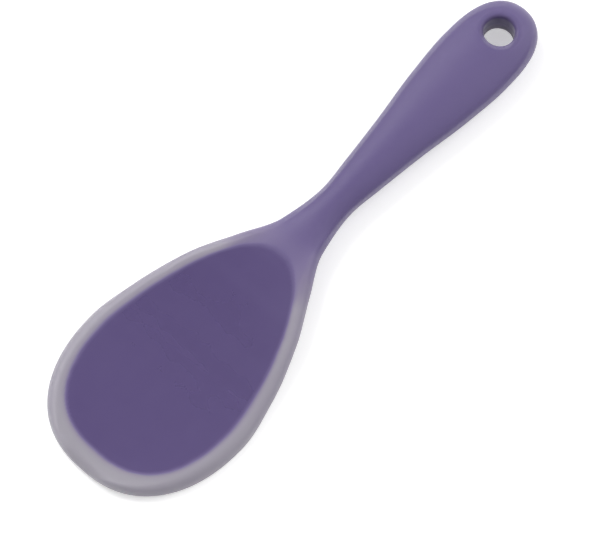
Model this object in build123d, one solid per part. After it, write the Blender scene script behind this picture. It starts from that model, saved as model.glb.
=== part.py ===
from build123d import *
import math
import os

# Rice paddle: a stiff nylon core with a soft frosted silicone jacket moulded all round it.
# Millimetres. +X runs from the blade's tip to the handle's end, and +Z is up as it lies on a table.
# The origin is on the table, under the middle of the whole length.
# A place along the paddle is its distance from the blade's tip.

# Plan outline of the whole paddle
overall_length = 225.0
blade_width = 70.0
blade_widest_at = 42.0
neck_width = 13.4
neck_at = 128.0
handle_width = 29.4
handle_end_length = 26.5

# Heights of the whole paddle above the table
blade_thickness = 5.0
rim_height = 1.5
tip_lift = 0.8
blade_dish = 0.6
belly_crown = 0.3
neck_thickness = 10.4
neck_lift = 2.8
handle_thickness = 13.8

# How the plan outline fills out at its two round ends: a larger power is a squarer end
nose_power = 2.2
nose_root = 2.35
butt_power = 2.85
butt_root = 2.15
butt_drop_power = 4.0
round_power = 2.0

# Taper from the blade's widest place to the neck: shares of that length, then of the loss of width
blade_taper_shares = ((0.0, 1.0), (0.21, 0.885), (0.44, 0.645), (0.62, 0.356), (0.79, 0.095), (1.0, 0.0))
# Swell from the neck to the handle's widest place: shares of that length, then of the gain of width
handle_swell_shares = ((0.0, 0.0), (0.17, 0.15), (0.45, 0.445), (0.74, 0.816), (1.0, 1.0))
# Rise from the blade to the neck: shares of that length, then of each rise in height
top_rise_shares = ((0.0, 0.0), (0.1, 0.02), (0.27, 0.22), (0.50, 0.64), (0.73, 0.93), (1.0, 1.0))
belly_rise_shares = ((0.0, 0.0), (0.1, 0.03), (0.27, 0.45), (0.50, 1.25), (0.73, 1.35), (1.0, 1.0))
middle_rise_shares = ((0.0, 0.0), (0.27, 0.36), (0.44, 0.80), (0.58, 0.98), (0.75, 1.04), (1.0, 1.0))
# Where the blade's section turns into the oval one, as shares of the length from widest place to neck
oval_from_share = 0.50
oval_to_share = 0.92
# An oval's corner radius over its rise: the flattest oval's share, then what a round one adds
oval_corner_share = 0.45
oval_round_share = 0.50

# Hanging hole, straight through the round end of the handle
hole_radius = 5.5
hole_from_end = 14.0
hole_lip = 2.0

# Core: a plate close under the blade's faces, on a stem that runs to the end of the handle
tip_rim = 7.4
side_rim = 6.0
plate_widest_lag = 2.0
plate_to_neck = 29.0
plate_nose_power = 2.4
plate_nose_root = 2.6
plate_tail_power = 1.36
plate_tail_root = 2.1
plate_cover = 0.6
plate_backing = 0.8
stem_overlap = 14.0
stem_nose_overlap = 20.0
stem_full_beyond = 2.0
stem_nose_power = 2.2
stem_nose_root = 2.5
stem_backing = 1.0
shoulder_cover = 2.0
neck_cover = 1.2
handle_cover = 1.5
butt_cover = 2.2
hole_lining = 1.4
key_lining = 3.2
key_height = 6.6

# How finely the form is followed
end_land = 0.05
least_crown = 0.02
cut_overrun = 1.0
nose_count = 14
taper_count = 12
swell_count = 8
butt_count = 10
plate_count = 14
outline_count = 10

# Places that follow from the sizes above
handle_widest_at = overall_length - handle_end_length
hole_at = overall_length / 2 - hole_from_end
lip_reach = blade_thickness - rim_height + blade_dish
plate_widest_at = blade_widest_at + plate_widest_lag
plate_end_at = neck_at - plate_to_neck
stem_full_at = plate_end_at + stem_full_beyond
stem_end = overall_length - butt_cover


def blended(low, high, share):
    return low + (high - low) * share


def eased(share):
    """A share that starts and ends gently."""
    share = min(1.0, max(0.0, share))
    return (3 - 2 * share) * share * share


def rounded(share, power, root):
    """Fall of a round end or edge, from 1 at its middle to 0 at its tip."""
    return max(0.0, 1 - min(1.0, abs(share)) ** power) ** (1 / root)


def followed(shares, place):
    """Height of a smooth curve, with no overshoot, through a short table of shares."""
    place = min(max(place, shares[0][0]), shares[-1][0])
    rises = [(after[1] - here[1]) / (after[0] - here[0]) for here, after in zip(shares, shares[1:])]
    slopes = [0.0]
    for before, after in zip(rises, rises[1:]):
        slopes.append(2 * before * after / (before + after) if before * after > 0 else 0.0)
    slopes.append(0.0)
    for here in range(len(rises)):
        (x0, y0), (x1, y1) = shares[here], shares[here + 1]
        if place <= x1:
            t = (place - x0) / (x1 - x0)
            bend = (x1 - x0) * t * (1 - t) * (slopes[here] * (1 - t) - slopes[here + 1] * t)
            return blended(y0, y1, eased(t)) + bend


def taper_share(at):
    return (at - blade_widest_at) / (neck_at - blade_widest_at)


def swell_share(at):
    return (at - neck_at) / (handle_widest_at - neck_at)


def butt_share(at):
    return (at - handle_widest_at) / handle_end_length


def nose_share(at):
    return (blade_widest_at - at) / blade_widest_at


def half_width(at):
    """Half the paddle's width, seen from above."""
    if at < blade_widest_at:
        return blade_width / 2 * rounded(nose_share(at), nose_power, nose_root)
    if at < neck_at:
        return blended(neck_width, blade_width, followed(blade_taper_shares, taper_share(at))) / 2
    if at < handle_widest_at:
        return blended(neck_width, handle_width, followed(handle_swell_shares, swell_share(at))) / 2
    return handle_width / 2 * rounded(butt_share(at), butt_power, butt_root)


def lip_fade(at):
    """1 on the blade's face, falling round its soft lip to 0 at the tip."""
    return rounded(max(0.0, 1 - at / lip_reach), round_power, round_power)


def levels(at):
    """The belly's, the edge's and the top's height over the table, on the centre line."""
    neck_top = neck_lift + neck_thickness
    if at < neck_at:
        place = taper_share(at)
        belly = blended(0.0, neck_lift, followed(belly_rise_shares, place))
        middle = blended(rim_height, neck_lift + neck_thickness / 2, followed(middle_rise_shares, place))
        top = blended(blade_thickness, neck_top, followed(top_rise_shares, place))
    else:
        place = followed(handle_swell_shares, swell_share(at))
        belly = blended(neck_lift, 0.0, place)
        middle = blended(neck_lift + neck_thickness / 2, handle_thickness / 2, place)
        top = blended(neck_top, handle_thickness, place)
    drop = 1.0
    if at < blade_widest_at:
        drop = lip_fade(at)
        lift = tip_lift * nose_share(at) ** 2
        belly, middle, top = belly + lift, middle + lift, top + lift
    if at > handle_widest_at:
        drop = rounded(butt_share(at), butt_drop_power, butt_root)
    return blended(middle, belly, drop), middle, blended(middle, top, drop)


def oval_share(at):
    """0 where the section is the blade's plate, 1 where it is the handle's oval."""
    return eased((taper_share(at) - oval_from_share) / (oval_to_share - oval_from_share))


def oval_corner(reach, rise):
    """Corner radius that makes two arcs a quarter of an oval."""
    return rise * (oval_corner_share + oval_round_share * min(1.0, rise / reach))


def quarter_points(reach, rise, corner):
    """The middle and end of a section's corner arc, then of the crown arc that goes on to the centre."""
    if abs(rise - corner) < least_crown:
        corner = rise - least_crown
    crown = ((reach - corner) ** 2 + rise ** 2 - corner ** 2) / (2 * (rise - corner))
    side = math.copysign(1, crown)
    turn = math.atan2(side * (crown - rise), side * (reach - corner))
    points = [(reach - corner + corner * math.cos(part), corner * math.sin(part)) for part in (turn / 2, turn)]
    halfway = points[-1][0] / 2
    fall = halfway ** 2 / crown / (1 + math.sqrt(1 - (halfway / crown) ** 2))
    return points + [(halfway, rise - fall), (0.0, rise)]


def section(at, reach, low, middle, high, corners):
    """One closed section of eight arcs, each tangent to the next, with its lower and upper corner radius."""
    lower = quarter_points(reach, middle - low, corners[0])
    upper = quarter_points(reach, high - middle, corners[1])
    ring = [(reach, 0.0)] + upper + [(-y, z) for y, z in upper[-2::-1]] + [(-reach, 0.0)]
    ring += [(-y, -z) for y, z in lower] + [(y, -z) for y, z in lower[-2::-1]] + [(reach, 0.0)]
    points = [Vector(at - overall_length / 2, y, middle + z) for y, z in ring]
    return Wire([Edge.make_three_point_arc(*points[i:i + 3]) for i in range(0, len(points) - 2, 2)])


def blade_to_oval(at, cover=0.0, backing=0.0):
    """The section of the whole paddle, or of what lies that far under its top and over its belly."""
    reach = half_width(at)
    low, middle, high = levels(at)
    low, high = low + backing, high - cover
    fade = lip_fade(at)
    oval = oval_share(at)
    lower = blended(middle - low - belly_crown * fade, oval_corner(reach, middle - low), oval)
    upper = blended(high - middle + blade_dish * fade, oval_corner(reach, high - middle), oval)
    return section(at, reach, low, middle, high, (lower, upper))


def end_places(start, end, count):
    """Places that crowd together towards the end, for a round end."""
    turn = math.pi / 2 / count
    places = [start + (end - start) * math.sin(turn * i) for i in range(count)]
    return places + [end]


def even_places(start, end, count):
    return [blended(start, end, i / count) for i in range(count)]


def body_places():
    """Places of the sections from the tip to the handle's widest place."""
    nose = end_places(blade_widest_at, end_land, nose_count)[:0:-1]
    taper = even_places(blade_widest_at, neck_at, taper_count)
    return nose + taper + even_places(neck_at, handle_widest_at, swell_count) + [handle_widest_at]


def butt_places():
    """Places of the sections of the handle's round end, which carries the hanging hole."""
    return end_places(handle_widest_at, overall_length - end_land, butt_count)


def outer_form():
    """The whole paddle's outer form, with the hanging hole and its soft lips."""
    body = Solid.make_loft([blade_to_oval(at) for at in body_places()], ruled=True)
    butt = Solid.make_loft([blade_to_oval(at) for at in butt_places()])
    form = body + butt - Pos(hole_at, 0, handle_thickness / 2) * Cylinder(hole_radius, handle_thickness * 2)
    return form.fillet(hole_lip, [edge for edge in form.edges() if is_mouth(edge)])


def is_mouth(edge):
    """True for an edge where the hanging hole comes out of the handle."""
    place = edge.position_at(0.5)
    off_bore = abs(math.hypot(place.X - hole_at, place.Y) - hole_radius)
    return off_bore < end_land and edge.bounding_box().size.Z < handle_thickness / 2


def plate_half_width(at):
    """Half the core plate's width, seen from above."""
    full = blade_width / 2 - side_rim
    if at < plate_widest_at:
        share = (plate_widest_at - at) / (plate_widest_at - tip_rim)
        return full * rounded(share, plate_nose_power, plate_nose_root)
    share = (at - plate_widest_at) / (plate_end_at - plate_widest_at)
    return full * rounded(share, plate_tail_power, plate_tail_root)


def plate_outline():
    """The core plate's outline on the table, as a chain of arcs."""
    nose = end_places(plate_widest_at, tip_rim, outline_count)[::-1]
    tail = end_places(plate_widest_at, plate_end_at, outline_count)[1:]
    right = [Vector(at - overall_length / 2, plate_half_width(at), 0) for at in nose + tail]
    points = right + [Vector(point.X, -point.Y, 0) for point in right[-2:0:-1]] + right[:1]
    return Face(Wire([Edge.make_three_point_arc(*points[i:i + 3]) for i in range(0, len(points) - 2, 2)]))


def core_plate():
    """The core's plate: its outline, cut through what lies close under the blade's faces."""
    first, last = tip_rim - cut_overrun, plate_end_at + cut_overrun
    places = even_places(first, last, plate_count) + [last]
    layer = Solid.make_loft([blade_to_oval(at, plate_cover, plate_backing) for at in places], ruled=True)
    blank = Solid.extrude(plate_outline(), Vector(0, 0, neck_lift + neck_thickness))
    return layer & blank


def stem_cover(at):
    """Thickness of the silicone over the core's stem."""
    if at < neck_at:
        return blended(shoulder_cover, neck_cover, eased((at - stem_full_at) / (neck_at - stem_full_at)))
    return blended(neck_cover, handle_cover, min(1.0, swell_share(at)))


def stem_section(at):
    """A section of the core's stem, which widens out of the plate and rounds off at its end."""
    cover = stem_cover(at)
    low, middle, high = levels(min(at, handle_widest_at))
    drop = 1.0
    if at < handle_widest_at:
        share = max(0.0, (stem_full_at - at) / (stem_nose_overlap + stem_full_beyond))
        reach = (half_width(at) - cover) * rounded(share, stem_nose_power, stem_nose_root)
    else:
        share = (at - handle_widest_at) / (stem_end - handle_widest_at)
        reach = (handle_width / 2 - cover) * rounded(share, butt_power, butt_root)
        drop = rounded(share, butt_drop_power, butt_root)
    low = blended(middle, low + min(cover, stem_backing), drop)
    high = blended(middle, high - cover, drop)
    corners = (oval_corner(reach, middle - low), oval_corner(reach, high - middle))
    return section(at, reach, low, middle, high, corners)


def core_stem():
    """The core's stem, from its root inside the plate to the end of the handle."""
    root = even_places(plate_end_at - stem_overlap, neck_at, taper_count // 2)
    swell = even_places(neck_at, handle_widest_at, swell_count)
    butt = end_places(handle_widest_at, stem_end - end_land, butt_count)
    return Solid.make_loft([stem_section(at) for at in root + swell + butt], ruled=True)


def core_form():
    """The stiff core, with a stepped hole that the jacket's lining locks into."""
    clear = Pos(hole_at, 0, handle_thickness / 2) * Cylinder(hole_radius + hole_lining, handle_thickness * 2)
    key_place = Pos(hole_at, 0, key_height - handle_thickness)
    key = key_place * Cylinder(hole_radius + key_lining, handle_thickness * 2)
    return core_plate() + core_stem() - clear - key


def jacket_form(core):
    """The silicone that fills all the space between the outer form and the core."""
    return outer_form() - core


def write(name, shape):
    shape.label = name
    export_step(shape, os.path.join("parts", name + ".step"))
    print(name, "volume", round(shape.volume, 1), "valid", shape.is_valid)


os.makedirs("parts", exist_ok=True)
core = core_form()
write("core", core)
write("jacket", jacket_form(core))
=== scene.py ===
import math
import bmesh
import bpy
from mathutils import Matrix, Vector
from mathutils.bvhtree import BVHTree


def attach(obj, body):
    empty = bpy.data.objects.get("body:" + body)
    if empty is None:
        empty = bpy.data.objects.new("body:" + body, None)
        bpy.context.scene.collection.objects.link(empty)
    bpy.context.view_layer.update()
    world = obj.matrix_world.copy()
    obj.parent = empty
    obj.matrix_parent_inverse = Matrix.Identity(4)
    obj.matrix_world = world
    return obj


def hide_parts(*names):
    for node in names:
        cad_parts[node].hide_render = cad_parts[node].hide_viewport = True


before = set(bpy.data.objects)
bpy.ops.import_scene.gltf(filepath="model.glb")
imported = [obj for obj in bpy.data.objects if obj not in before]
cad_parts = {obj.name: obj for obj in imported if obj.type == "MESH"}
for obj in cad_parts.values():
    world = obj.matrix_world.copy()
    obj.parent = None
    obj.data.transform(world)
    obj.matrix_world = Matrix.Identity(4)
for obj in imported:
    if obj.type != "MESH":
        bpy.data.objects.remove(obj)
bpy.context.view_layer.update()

mm = 0.001
maths = "ShaderNodeMath"

# The rice paddle's silicone skin. Millimetres, measured from the blade's tip along the paddle
skin = {
    "length": 225.0,
    "bladeWidth": 70.0, "bladeWidestAt": 42.0,
    "neckWidth": 13.4, "neckAt": 128.0,
    "handleWidth": 29.4, "handleEnd": 26.5,
    "bladeThickness": 5.0, "rimHeight": 1.5, "tipLift": 0.8,
    "bladeDish": 0.6, "bellyCrown": 0.3,
    "neckThickness": 10.4, "neckLift": 2.8, "handleThickness": 13.8,
    # how full the two round ends are: power, then root
    "nose": (2.2, 2.35), "butt": (2.85, 2.15), "buttDrop": (4.0, 2.15), "lip": (2.0, 2.0),
    # shares of the way from one width or height to the next
    "taper": ((0, 1), (0.21, 0.885), (0.44, 0.645), (0.62, 0.356), (0.79, 0.095), (1, 0)),
    "swell": ((0, 0), (0.17, 0.15), (0.45, 0.445), (0.74, 0.816), (1, 1)),
    "topRise": ((0, 0), (0.1, 0.02), (0.27, 0.22), (0.50, 0.64), (0.73, 0.93), (1, 1)),
    "bellyRise": ((0, 0), (0.1, 0.03), (0.27, 0.45), (0.50, 1.25), (0.73, 1.35), (1, 1)),
    "middleRise": ((0, 0), (0.27, 0.36), (0.44, 0.80), (0.58, 0.98), (0.75, 1.04), (1, 1)),
    "ovalFrom": 0.50, "ovalTo": 0.92,       # where the section turns into the handle's oval
    "ovalCorner": 0.45, "ovalRound": 0.50,  # the oval's corner radius, as a share of its rise
    "ringStep": 1.0,                        # along the paddle
    "noseRings": 60, "buttRings": 38,
    "sides": 160,                           # points round each ring
    "flash": 0.10,                          # height of the mould's parting line along the edge
    "flashFrom": 3.0,                       # half width under which the parting line fades out
}
hole = {
    "radius": 5.5, "fromEnd": 14.0, "lip": 2.0,
    "lipRings": 6, "wallRings": 14,
    "blockRings": 7, "blockRows": 10,       # half the block of the grid that the hole takes out
    "reach": 1.9,                           # width of the area whose grid is spread, in blocks
}
handleWidestAt = skin["length"] - skin["handleEnd"]


def blended(low, high, share):
    return low + (high - low) * share


def eased(share):
    share = min(1.0, max(0.0, share))
    return (3 - 2 * share) * share * share


def rounded(share, form):
    power, root = form
    return max(0.0, 1 - min(1.0, abs(share)) ** power) ** (1 / root)


def followed(shares, place):
    # a smooth curve through a short table, with no overshoot
    place = min(max(place, shares[0][0]), shares[-1][0])
    rises = [(b[1] - a[1]) / (b[0] - a[0]) for a, b in zip(shares, shares[1:])]
    slopes = [0.0]
    for a, b in zip(rises, rises[1:]):
        slopes.append(2 * a * b / (a + b) if a * b > 0 else 0.0)
    slopes.append(0.0)
    for i in range(len(rises)):
        (x0, y0), (x1, y1) = shares[i], shares[i + 1]
        if place <= x1:
            t = (place - x0) / (x1 - x0)
            bend = (x1 - x0) * t * (1 - t) * (slopes[i] * (1 - t) - slopes[i + 1] * t)
            return blended(y0, y1, eased(t)) + bend


def sectionAt(at):
    # what one ring needs: half width, heights of belly, edge and top, how oval, its lip's fade
    s = skin
    taper = (at - s["bladeWidestAt"]) / (s["neckAt"] - s["bladeWidestAt"])
    swell = (at - s["neckAt"]) / (handleWidestAt - s["neckAt"])
    neckMiddle = s["neckLift"] + s["neckThickness"] / 2
    neckTop = s["neckLift"] + s["neckThickness"]
    if at < s["neckAt"]:
        width = blended(s["neckWidth"], s["bladeWidth"], followed(s["taper"], taper))
        belly = blended(0.0, s["neckLift"], followed(s["bellyRise"], taper))
        middle = blended(s["rimHeight"], neckMiddle, followed(s["middleRise"], taper))
        top = blended(s["bladeThickness"], neckTop, followed(s["topRise"], taper))
    else:
        place = followed(s["swell"], swell)
        width = blended(s["neckWidth"], s["handleWidth"], place)
        belly = blended(s["neckLift"], 0.0, place)
        middle = blended(neckMiddle, s["handleThickness"] / 2, place)
        top = blended(neckTop, s["handleThickness"], place)
    lip = s["bladeThickness"] - s["rimHeight"] + s["bladeDish"]
    fade = rounded(max(0.0, 1 - at / lip), s["lip"])
    drop = 1.0
    if at < s["bladeWidestAt"]:
        nose = (s["bladeWidestAt"] - at) / s["bladeWidestAt"]
        width = s["bladeWidth"] * rounded(nose, s["nose"])
        lift = s["tipLift"] * nose ** 2
        belly, middle, top = belly + lift, middle + lift, top + lift
        drop = fade
    if at > handleWidestAt:
        butt = (at - handleWidestAt) / s["handleEnd"]
        width = s["handleWidth"] * rounded(butt, s["butt"])
        drop = rounded(butt, s["buttDrop"])
    oval = eased((taper - s["ovalFrom"]) / (s["ovalTo"] - s["ovalFrom"]))
    return {"halfWidth": width / 2, "belly": blended(middle, belly, drop), "middle": middle,
            "top": blended(middle, top, drop), "oval": oval, "fade": fade,
            "along": at - s["length"] / 2}


def ringPlaces():
    # close together at the two round ends, and evenly between them
    s = skin
    nose = [s["bladeWidestAt"] * (1 - math.sin(math.pi / 2 * (1 - i / s["noseRings"])))
            for i in range(s["noseRings"])]
    straight = handleWidestAt - s["bladeWidestAt"]
    count = round(straight / s["ringStep"])
    middle = [s["bladeWidestAt"] + straight * i / count for i in range(count)]
    butt = [blended(handleWidestAt, s["length"], math.sin(math.pi / 2 * i / s["buttRings"]))
            for i in range(s["buttRings"] + 1)]
    return nose + middle + butt


def addNode(tree, kind, inputs=(), **settings):
    # one node, its settings and its inputs: a number, a socket, or a node's first output
    node = tree.nodes.new(kind)
    for name, value in settings.items():
        setattr(node, name, value)
    pairs = inputs.items() if isinstance(inputs, dict) else enumerate(inputs)
    for name, value in pairs:
        if isinstance(value, bpy.types.Node):
            value = value.outputs[0]
        if isinstance(value, bpy.types.NodeSocket):
            tree.links.new(value, node.inputs[name])
        else:
            node.inputs[name].default_value = value
    return node


def linear(hexColour):
    # sRGB hex to linear RGBA
    channels = [int(hexColour[i:i + 2], 16) / 255 for i in (1, 3, 5)]
    return [c / 12.92 if c <= 0.04045 else ((c + 0.055) / 1.055) ** 2.4 for c in channels] + [1.0]


def quarterArcs(tree, at, given, isTop):
    # a quarter of a ring is two arcs that meet without a corner, a small one round its edge and
    # a flatter one over its crown, above the edge or below it. First the height between crown
    # and edge, and the corner's radius
    peak = addNode(tree, "ShaderNodeMix", {0: isTop, 2: at["belly"], 3: at["top"]})
    rise = addNode(tree, maths, (peak, at["middle"]), operation="SUBTRACT")
    rise = addNode(tree, maths, (rise,), operation="ABSOLUTE")
    crown = addNode(tree, maths, (given["Belly Crown"], -1.0), operation="MULTIPLY")
    stand = addNode(tree, "ShaderNodeMix", {0: isTop, 2: crown, 3: given["Dish"]})
    lipCorner = addNode(tree, maths, (stand, at["fade"], rise), operation="MULTIPLY_ADD")
    upright = addNode(tree, maths, (rise, at["halfWidth"]), operation="DIVIDE")
    upright = addNode(tree, maths, (upright, 1.0), operation="MINIMUM")
    share = addNode(tree, maths, (upright, given["Oval Round"], given["Oval Corner"]),
                    operation="MULTIPLY_ADD")
    ovalCorner = addNode(tree, maths, (rise, share), operation="MULTIPLY")
    corner = addNode(tree, "ShaderNodeMix", {0: at["oval"], 2: lipCorner, 3: ovalCorner})

    # then the crown arc's curvature, and how far out the corner arc takes over from it
    inset = addNode(tree, maths, (at["halfWidth"], corner), operation="SUBTRACT")
    over = addNode(tree, maths, (rise, corner), operation="SUBTRACT")
    total = addNode(tree, maths, (rise, corner), operation="ADD")
    span = addNode(tree, maths, (inset, inset), operation="MULTIPLY")
    span = addNode(tree, maths, (over, total, span), operation="MULTIPLY_ADD")
    twice = addNode(tree, maths, (over, 2.0), operation="MULTIPLY")
    bend = addNode(tree, maths, (twice, span), operation="DIVIDE")
    runOut = addNode(tree, maths, (bend, inset), operation="MULTIPLY")
    runUp = addNode(tree, maths, (bend, rise), operation="MULTIPLY")
    runUp = addNode(tree, maths, (1.0, runUp), operation="SUBTRACT")
    run = addNode(tree, maths, (runUp, runUp), operation="MULTIPLY")
    run = addNode(tree, maths, (runOut, runOut, run), operation="MULTIPLY_ADD")
    run = addNode(tree, maths, (run,), operation="SQRT")
    runOut = addNode(tree, maths, (runOut, run), operation="DIVIDE")
    joinAt = addNode(tree, maths, (corner, runOut, inset), operation="MULTIPLY_ADD")
    return rise, corner, inset, bend, joinAt


def heightOnArcs(tree, reach, rise, corner, inset, bend, joinAt):
    # how far above or below its edge the skin is, this far out from the paddle's middle
    outside = addNode(tree, maths, (reach, inset), operation="SUBTRACT")
    outside = addNode(tree, maths, (outside, outside), operation="MULTIPLY")
    cornerSquare = addNode(tree, maths, (corner, corner), operation="MULTIPLY")
    onCorner = addNode(tree, maths, (cornerSquare, outside), operation="SUBTRACT")
    onCorner = addNode(tree, maths, (onCorner, 0.0), operation="MAXIMUM")
    onCorner = addNode(tree, maths, (onCorner,), operation="SQRT")
    lateral = addNode(tree, maths, (bend, reach), operation="MULTIPLY")
    flat = addNode(tree, maths, (lateral, lateral), operation="MULTIPLY")
    flat = addNode(tree, maths, (1.0, flat), operation="SUBTRACT")
    flat = addNode(tree, maths, (flat, 0.0), operation="MAXIMUM")
    flat = addNode(tree, maths, (flat,), operation="SQRT")
    flat = addNode(tree, maths, (flat, 1.0), operation="ADD")
    fall = addNode(tree, maths, (lateral, reach), operation="MULTIPLY")
    fall = addNode(tree, maths, (fall, flat), operation="DIVIDE")
    onCrown = addNode(tree, maths, (rise, fall), operation="SUBTRACT")
    pastJoin = addNode(tree, maths, (reach, joinAt), operation="GREATER_THAN")
    return addNode(tree, "ShaderNodeMix", {0: pastJoin, 2: onCrown, 3: onCorner})


def partingLine(tree, at, given, lean):
    # it stands proud only on a ring's two outermost points, whose sine is next to nothing
    outermost = 0.001
    level = addNode(tree, maths, (lean,), operation="ABSOLUTE")
    atEdge = addNode(tree, maths, (level, outermost), operation="LESS_THAN")
    proud = addNode(tree, maths, (atEdge, given["Flash"]), operation="MULTIPLY")
    thin = addNode(tree, maths, (at["halfWidth"], given["Flash From"]), operation="DIVIDE")
    thin = addNode(tree, maths, (thin, 1.0), operation="MINIMUM")
    return addNode(tree, maths, (proud, thin), operation="MULTIPLY")


def skinTree():
    # sweeps a ring along the spine, and gives each of its points its place in that section
    tree = bpy.data.node_groups.new("sweptSkin", "GeometryNodeTree")
    sockets = {}
    tree.interface.new_socket("Spine", in_out="INPUT", socket_type="NodeSocketGeometry")
    for name, kind in (("Sides", "Int"), ("Scale", "Float"), ("Dish", "Float"),
                       ("Belly Crown", "Float"), ("Oval Corner", "Float"), ("Oval Round", "Float"),
                       ("Flash", "Float"), ("Flash From", "Float"), ("Material", "Material")):
        socket = tree.interface.new_socket(name, in_out="INPUT", socket_type="NodeSocket" + kind)
        sockets[name] = socket.identifier
    tree.interface.new_socket("Skin", in_out="OUTPUT", socket_type="NodeSocketGeometry")
    given = tree.nodes.new("NodeGroupInput").outputs
    at = {name: addNode(tree, "GeometryNodeInputNamedAttribute", {"Name": name}, data_type="FLOAT")
          for name in sectionAt(0.0)}

    spine = addNode(tree, "GeometryNodeMeshToCurve", (given["Spine"],))
    ring = addNode(tree, "GeometryNodeCurvePrimitiveCircle", {"Resolution": given["Sides"]})
    turn = tree.nodes.new("GeometryNodeCaptureAttribute")
    turn.capture_items.new("FLOAT", "Turn")
    tree.links.new(ring.outputs[0], turn.inputs["Geometry"])
    roundRing = tree.nodes.new("GeometryNodeSplineParameter").outputs["Factor"]
    tree.links.new(roundRing, turn.inputs["Turn"])
    tube = addNode(tree, "GeometryNodeCurveToMesh",
                   {"Curve": spine, "Profile Curve": turn.outputs["Geometry"]})

    angle = addNode(tree, maths, (turn.outputs["Turn"], 2 * math.pi), operation="MULTIPLY")
    across = addNode(tree, maths, (angle,), operation="COSINE")
    lean = addNode(tree, maths, (angle,), operation="SINE")
    isTop = addNode(tree, maths, (lean, 0.0), operation="GREATER_THAN")
    side = addNode(tree, maths, (across, at["halfWidth"]), operation="MULTIPLY")
    reach = addNode(tree, maths, (side,), operation="ABSOLUTE")
    height = heightOnArcs(tree, reach, *quarterArcs(tree, at, given, isTop))
    way = addNode(tree, maths, (isTop, 2.0, -1.0), operation="MULTIPLY_ADD")
    height = addNode(tree, maths, (height, way, at["middle"]), operation="MULTIPLY_ADD")
    proud = partingLine(tree, at, given, lean)
    side = addNode(tree, maths, (across, proud, side), operation="MULTIPLY_ADD")

    place = addNode(tree, "ShaderNodeCombineXYZ", (at["along"], side, height))
    scaled = addNode(tree, "ShaderNodeVectorMath", {0: place, "Scale": given["Scale"]},
                     operation="SCALE")
    placed = addNode(tree, "GeometryNodeSetPosition", {"Geometry": tube, "Position": scaled})
    smooth = addNode(tree, "GeometryNodeSetShadeSmooth", {0: placed})
    real = addNode(tree, "GeometryNodeRealizeInstances", {0: smooth})
    dressed = addNode(tree, "GeometryNodeSetMaterial", {0: real, "Material": given["Material"]})
    addNode(tree, "NodeGroupOutput", {0: dressed})
    return tree, sockets


def makeSkin(material):
    places = ringPlaces()
    mesh = bpy.data.meshes.new("spine")
    mesh.from_pydata([(0, 0, at * mm) for at in places],
                     [(i, i + 1) for i in range(len(places) - 1)], [])
    sections = [sectionAt(at) for at in places]
    for name in sections[0]:
        attribute = mesh.attributes.new(name, "FLOAT", "POINT")
        attribute.data.foreach_set("value", [section[name] for section in sections])
    spine = bpy.data.objects.new("spine", mesh)
    bpy.context.scene.collection.objects.link(spine)
    tree, sockets = skinTree()
    modifier = spine.modifiers.new("sweptSkin", "NODES")
    modifier.node_group = tree
    sizes = {"Sides": skin["sides"], "Scale": mm, "Dish": skin["bladeDish"],
             "Belly Crown": skin["bellyCrown"], "Oval Corner": skin["ovalCorner"],
             "Oval Round": skin["ovalRound"], "Flash": skin["flash"],
             "Flash From": skin["flashFrom"], "Material": material}
    for name, value in sizes.items():
        modifier[sockets[name]] = value
    swept = spine.evaluated_get(bpy.context.evaluated_depsgraph_get())
    made = bpy.data.meshes.new_from_object(swept)
    bpy.data.objects.remove(spine)
    print("skin swept:", len(places), "rings,", len(made.vertices), "points")
    return made


def surfaceOf(mesh):
    return BVHTree.FromPolygons([v.co.copy() for v in mesh.vertices],
                                [list(p.vertices) for p in mesh.polygons])


def holeAlong():
    return (skin["length"] / 2 - hole["fromEnd"]) * mm


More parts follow.
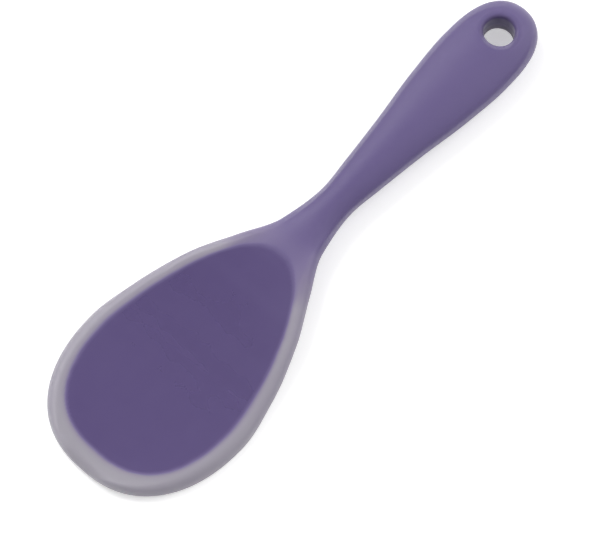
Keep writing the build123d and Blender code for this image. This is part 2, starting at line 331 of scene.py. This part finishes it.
def openHole(mesh):
    # spreads the grid round the hanging hole, then turns its lips and wall down through the handle
    rings, sides = len(ringPlaces()), skin["sides"]
    topRow, bellyRow = sides // 4, sides * 3 // 4
    centre, lipRadius = holeAlong(), (hole["radius"] + hole["lip"]) * mm
    halfRings, halfRows, reach = hole["blockRings"], hole["blockRows"], hole["reach"]
    solid = surfaceOf(mesh)
    clear = 0.05      # metres, well over and under the handle
    samePlace = 1e-7  # metres
    work = bmesh.new()
    work.from_mesh(mesh)
    work.verts.ensure_lookup_table()
    ringX = [work.verts[i * sides + topRow].co.x for i in range(rings)]
    middleRing = min(range(rings), key=lambda i: abs(ringX[i] - centre))

    def onSkin(x, y, upper):
        start = Vector((x, y, clear if upper else -clear))
        return solid.ray_cast(start, Vector((0, 0, -1 if upper else 1)))[0].z

    def onGrid(i, j, middleRow):
        return work.verts[(middleRing + i) * sides + (middleRow + j) % sides]

    def spreadGrid(middleRow, upper):
        moved = {}
        for i in range(-int(halfRings * reach), int(halfRings * reach) + 1):
            for j in range(-int(halfRows * reach), int(halfRows * reach) + 1):
                ratio = max(abs(i) / halfRings, abs(j) / halfRows)
                if ratio < 1 or ratio > reach:
                    continue
                vertex = onGrid(i, j, middleRow)
                dx, dy = vertex.co.x - centre, vertex.co.y
                radius = math.hypot(dx, dy)
                outer = radius * reach / ratio
                wanted = lipRadius + (outer - lipRadius) * (ratio - 1) / (reach - 1)
                moved[vertex] = (centre + dx * wanted / radius, dy * wanted / radius)
        for vertex, (x, y) in moved.items():
            vertex.co = (x, y, onSkin(x, y, upper))

    def borderOf(middleRow, upper):
        # once round the block, in the same order above and below
        way = -1 if upper else 1
        border = [(-halfRings, j) for j in range(-halfRows, halfRows)]
        border += [(i, halfRows) for i in range(-halfRings, halfRings)]
        border += [(halfRings, -j) for j in range(-halfRows, halfRows)]
        border += [(-i, -halfRows) for i in range(-halfRings, halfRings)]
        return [onGrid(i, way * j, middleRow) for i, j in border]

    def turnedLip(border, upper):
        # from each point of the border, a column over the rounded lip and into the hole
        columns = []
        for vertex in border:
            dx, dy = (vertex.co.x - centre) / lipRadius, vertex.co.y / lipRadius
            column = [vertex]
            for step in range(1, hole["lipRings"] + 1):
                turn = math.pi / 2 * step / hole["lipRings"]
                radius = (hole["radius"] + hole["lip"] * (1 - math.sin(turn))) * mm
                x, y = centre + dx * radius, dy * radius
                fall = hole["lip"] * (1 - math.cos(turn)) * mm
                z = onSkin(x, y, upper) + (-fall if upper else fall)
                column.append(work.verts.new((x, y, z)))
            columns.append(column)
        return columns

    borders, inner = [], []
    for middleRow, upper in ((topRow, True), (bellyRow, False)):
        spreadGrid(middleRow, upper)
        borders.append(borderOf(middleRow, upper))
        inner += [onGrid(i, j, middleRow) for i in range(1 - halfRings, halfRings)
                  for j in range(1 - halfRows, halfRows)]
    bmesh.ops.delete(work, geom=inner, context="VERTS")
    columns = turnedLip(borders[0], True)
    steps = hole["wallRings"]
    for above, below in zip(columns, turnedLip(borders[1], False)):
        top, foot = above[-1].co, below[-1].co
        above += [work.verts.new(top.lerp(foot, k / steps)) for k in range(1, steps)]
        above += below[::-1]
    for left, right in zip(columns, columns[1:] + columns[:1]):
        for a, b, c, d in zip(left, left[1:], right[1:], right):
            work.faces.new((a, b, c, d))
    # close the two poles, where a ring has shrunk to a point
    bmesh.ops.remove_doubles(work, verts=work.verts, dist=samePlace)
    bmesh.ops.recalc_face_normals(work, faces=work.faces)
    for face in work.faces:
        face.smooth = True
    work.to_mesh(mesh)
    work.free()
    print("hanging hole opened:", len(mesh.polygons), "faces in the skin")


# How light finds the core under the silicone. Millimetres
depth = {
    "perMm": 0.35,         # how strongly each millimetre of silicone scatters the light
    "spread": 0.54,        # how far from square the light wanders, as the sine of its widest angle
    "rings": (1, 6, 10),   # rays in the middle, then in two rings round it
    "start": 0.01,         # under the skin's face
    "farthest": 14.0,
    "blurs": 1,            # passes over each point's neighbours
    # this near the hole's axis and above the core's step, the lining is thin all round
    "liningReach": 8.0, "liningFrom": 6.9,
}


def rayFan():
    rays = []
    for ring, count in enumerate(depth["rings"]):
        lean = depth["spread"] * ring / (len(depth["rings"]) - 1)
        for k in range(count):
            turn = 2 * math.pi * (k + 0.5 * (ring % 2)) / count
            rays.append((lean * math.cos(turn), lean * math.sin(turn), math.sqrt(1 - lean * lean)))
    return rays


def comesThrough(distance):
    return math.exp(-depth["perMm"] * distance / mm)


def blurred(shown, mesh):
    # the silicone blurs what lies under it: each point takes in its neighbours
    total, count = list(shown), [1] * len(shown)
    for edge in mesh.edges:
        a, b = edge.vertices
        total[a], total[b] = total[a] + shown[b], total[b] + shown[a]
        count[a], count[b] = count[a] + 1, count[b] + 1
    return [t / c for t, c in zip(total, count)]


def measureDepth(mesh, core):
    # for each point of the skin, the share of the core's own colour that comes through to it
    inside, rays = surfaceOf(core.data), rayFan()
    centre = holeAlong()
    shown = []
    for vertex in mesh.vertices:
        byHole = math.hypot(vertex.co.x - centre, vertex.co.y) < depth["liningReach"] * mm
        if byHole and vertex.co.z > depth["liningFrom"] * mm:
            shown.append(comesThrough(inside.find_nearest(vertex.co)[3]))
            continue
        normal = vertex.normal
        side = normal.orthogonal().normalized()
        other = normal.cross(side)
        start = vertex.co - normal * depth["start"] * mm
        through = 0.0
        for a, b, c in rays:
            way = side * a + other * b - normal * c
            distance = inside.ray_cast(start, way, depth["farthest"] * mm)[3]
            if distance is not None:
                through += comesThrough(distance)
        shown.append(through / len(rays))
    for _ in range(depth["blurs"]):
        shown = blurred(shown, mesh)
    attribute = mesh.attributes.new("coreShown", "FLOAT", "POINT")
    attribute.data.foreach_set("value", shown)
    print("core shows through the skin by", round(min(shown), 2), "to", round(max(shown), 2))


def blankMaterial(name):
    material = bpy.data.materials.new(name)
    material.use_nodes = True
    material.node_tree.nodes.clear()
    return material, material.node_tree


siliconeLook = {
    # its colour by the share of the core that shows, from none to close under the face
    "colours": ((0.0, "#a4a0aa"), (0.28, "#827896"), (0.48, "#6d608f"), (0.64, "#6e6092"),
                (0.82, "#544379")),
    # faint clouds, and how far they move that share
    "cloudMm": 14.0, "cloudDetail": 3.0, "cloudShift": 0.04,
    "rimAlpha": 0.92, "coreAlpha": 0.66,
    "clears": (0.40, 0.62),                # the shares over which it turns from milky to clear
    "rimScatter": 1.0, "coreScatter": 0.1,
    "scatterFades": (0.0, 0.40), "scatterMm": 6.0,
    "roughness": (0.40, 0.52), "ior": 1.41,
    # the mould's sparked finish, drawn coarser than its real 0.05 mm
    "grainMm": 0.35, "grainDetail": 2.0, "grainDepthMm": 0.02, "grainStrength": 0.08,
    "sheen": 0.25, "sheenRoughness": 0.5,  # the soft bloom on a dry silicone face
}


def frostedSilicone():
    # platinum-cured silicone moulded against a sparked steel face: milky, satin, soft highlights
    look = siliconeLook
    material, tree = blankMaterial("frosted moulded silicone")
    place = tree.nodes.new("ShaderNodeTexCoord").outputs["Object"]
    shown = addNode(tree, "ShaderNodeAttribute", attribute_name="coreShown").outputs["Fac"]
    cloud = addNode(tree, "ShaderNodeTexNoise",
                    {"Vector": place, "Scale": 1 / (look["cloudMm"] * mm),
                     "Detail": look["cloudDetail"]})
    grain = addNode(tree, "ShaderNodeTexNoise",
                    {"Vector": place, "Scale": 1 / (look["grainMm"] * mm),
                     "Detail": look["grainDetail"]})
    drift = addNode(tree, maths, (cloud.outputs[0], look["cloudShift"], -look["cloudShift"] / 2),
                    operation="MULTIPLY_ADD")
    share = addNode(tree, maths, (shown, drift), operation="ADD", use_clamp=True)
    colour = addNode(tree, "ShaderNodeValToRGB", {0: share})
    stops = colour.color_ramp.elements
    for index, (at, hexColour) in enumerate(look["colours"]):
        stop = stops[index] if index < len(stops) else stops.new(at)
        stop.position, stop.color = at, linear(hexColour)
    alpha = addNode(tree, "ShaderNodeMapRange",
                    {0: share, 1: look["clears"][0], 2: look["clears"][1],
                     3: look["rimAlpha"], 4: look["coreAlpha"]})
    rough = addNode(tree, "ShaderNodeMapRange",
                    {0: grain.outputs[0], 3: look["roughness"][0], 4: look["roughness"][1]})
    scatter = addNode(tree, "ShaderNodeMapRange",
                      {0: share, 1: look["scatterFades"][0], 2: look["scatterFades"][1],
                       3: look["rimScatter"], 4: look["coreScatter"]})
    bump = addNode(tree, "ShaderNodeBump",
                   {"Strength": look["grainStrength"], "Distance": look["grainDepthMm"] * mm,
                    "Height": grain.outputs[0]})
    shader = addNode(tree, "ShaderNodeBsdfPrincipled", {
        "Base Color": colour, "Alpha": alpha, "Roughness": rough, "IOR": look["ior"],
        "Normal": bump, "Subsurface Weight": scatter, "Subsurface Radius": (1.0, 1.0, 1.0),
        "Subsurface Scale": look["scatterMm"] * mm,
        "Sheen Weight": look["sheen"], "Sheen Roughness": look["sheenRoughness"]})
    addNode(tree, "ShaderNodeOutputMaterial", {"Surface": shader})
    return material


coreLook = {
    "colour": "#4b3b78", "deep": "#40306a",
    # the streaks' width, and how much slower they change lengthways
    "flowMm": 9.0, "flowDetail": 4.0, "flowStretch": 0.25,
    "roughness": (0.45, 0.58), "ior": 1.53,
}


def mouldedNylon():
    # nylon 6, moulded and keyed for the silicone to grip: matt, deep violet, faintly streaked
    look = coreLook
    material, tree = blankMaterial("matt moulded nylon")
    place = tree.nodes.new("ShaderNodeTexCoord").outputs["Object"]
    along = addNode(tree, "ShaderNodeMapping",
                    {"Vector": place, "Scale": (look["flowStretch"], 1.0, 1.0)})
    flow = addNode(tree, "ShaderNodeTexNoise",
                   {"Vector": along, "Scale": 1 / (look["flowMm"] * mm),
                    "Detail": look["flowDetail"]})
    colour = addNode(tree, "ShaderNodeMix",
                     {0: flow.outputs[0], 6: linear(look["colour"]), 7: linear(look["deep"])},
                     data_type="RGBA").outputs[2]
    rough = addNode(tree, "ShaderNodeMapRange",
                    {0: flow.outputs[0], 3: look["roughness"][0], 4: look["roughness"][1]})
    shader = addNode(tree, "ShaderNodeBsdfPrincipled",
                     {"Base Color": colour, "Roughness": rough, "IOR": look["ior"]})
    addNode(tree, "ShaderNodeOutputMaterial", {"Surface": shader})
    return material


silicone = frostedSilicone()
nylon = mouldedNylon()
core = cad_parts["core"]
skinMesh = makeSkin(silicone)
openHole(skinMesh)
measureDepth(skinMesh, core)
skinPiece = bpy.data.objects.new("silicone_skin", skinMesh)
bpy.context.scene.collection.objects.link(skinPiece)
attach(skinPiece, "root")
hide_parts("jacket")
core.data.materials.clear()
core.data.materials.append(nylon)
print("materials on")

# The studio: a pale floor under the paddle, and soft lamps. Metres and watts
stage = {
    "floorSize": 6.0, "floorColour": "#f4f4f4",
    "glow": 0.40,                          # added where the floor is seen, so that it looks white
    "worldStrength": 0.53,
    "lamps": (  # name, place, size, watts
        ("keySoftbox", (0.10, 1.75, 1.90), 1.4, 38.0),
        ("fillSoftbox", (1.60, -0.80, 1.60), 1.6, 18.0),
    ),
}


def seenDirectly(tree):
    # 1 for rays from the camera, and for those that glossy or clear faces send on, else 0
    seen = tree.nodes.new("ShaderNodeLightPath").outputs
    direct = addNode(tree, maths, (seen["Is Camera Ray"], seen["Is Glossy Ray"]),
                     operation="MAXIMUM")
    return addNode(tree, maths, (direct, seen["Is Transmission Ray"]), operation="MAXIMUM")


def whitePaper():
    material, tree = blankMaterial("white paper sweep")
    paper = addNode(tree, "ShaderNodeBsdfDiffuse", {"Color": linear(stage["floorColour"])})
    strength = addNode(tree, maths, (seenDirectly(tree), stage["glow"]), operation="MULTIPLY")
    glow = addNode(tree, "ShaderNodeEmission", {"Strength": strength})
    both = addNode(tree, "ShaderNodeAddShader", (paper, glow))
    addNode(tree, "ShaderNodeOutputMaterial", {"Surface": both})
    return material


def makeFloor():
    half = stage["floorSize"] / 2
    mesh = bpy.data.meshes.new("floor")
    mesh.from_pydata([(-half, -half, 0), (half, -half, 0), (half, half, 0), (-half, half, 0)],
                     [], [(0, 1, 2, 3)])
    mesh.materials.append(whitePaper())
    floor = bpy.data.objects.new("floor", mesh)
    bpy.context.scene.collection.objects.link(floor)


def makeWorld():
    world = bpy.data.worlds.new("studio")
    world.use_nodes = True
    tree = world.node_tree
    tree.nodes.clear()
    strength = addNode(tree, "ShaderNodeMapRange",
                       {0: seenDirectly(tree), 3: stage["worldStrength"], 4: 1.0})
    sky = addNode(tree, "ShaderNodeBackground", {"Color": (1, 1, 1, 1), "Strength": strength})
    addNode(tree, "ShaderNodeOutputWorld", {"Surface": sky})
    bpy.context.scene.world = world


def makeLamps():
    for name, place, size, watts in stage["lamps"]:
        lamp = bpy.data.lights.new(name, "AREA")
        lamp.shape, lamp.size, lamp.energy = "DISK", size, watts
        holder = bpy.data.objects.new(name, lamp)
        holder.location = place
        holder.rotation_euler = (-Vector(place)).to_track_quat("-Z", "Y").to_euler()
        bpy.context.scene.collection.objects.link(holder)


# The camera stands where the photograph was taken from. Degrees, metres and pixels
view = {
    "azimuth": -47.81, "elevation": 69.0, "distance": 1.3,
    "focalPixels": 3791.0, "imageSize": (600, 556), "paddleMiddle": (307.1, 239.55),
    "sensorMm": 36.0, "clip": (0.01, 20.0),
}


def makeCamera():
    azimuth, elevation = math.radians(view["azimuth"]), math.radians(view["elevation"])
    right = Vector((math.cos(azimuth), math.sin(azimuth), 0))
    back = Vector((math.sin(azimuth) * math.cos(elevation),
                   -math.cos(azimuth) * math.cos(elevation), math.sin(elevation)))
    up = back.cross(right)
    width, height = view["imageSize"]
    perPixel = view["distance"] / view["focalPixels"]
    aside = (width / 2 - view["paddleMiddle"][0]) * perPixel
    below = (height / 2 - view["paddleMiddle"][1]) * perPixel
    target = right * aside - up * below
    camera = bpy.data.cameras.new("camera")
    camera.sensor_width = view["sensorMm"]
    camera.lens = view["sensorMm"] * view["focalPixels"] / width
    camera.clip_start, camera.clip_end = view["clip"]
    holder = bpy.data.objects.new("camera", camera)
    holder.location = back * view["distance"]
    holder.rotation_euler = (target - holder.location).to_track_quat("-Z", "Y").to_euler()
    bpy.context.scene.collection.objects.link(holder)
    bpy.context.scene.camera = holder


makeFloor()
makeWorld()
makeLamps()
makeCamera()
bpy.context.scene.view_settings.view_transform = "Standard"
print("stage and camera set")
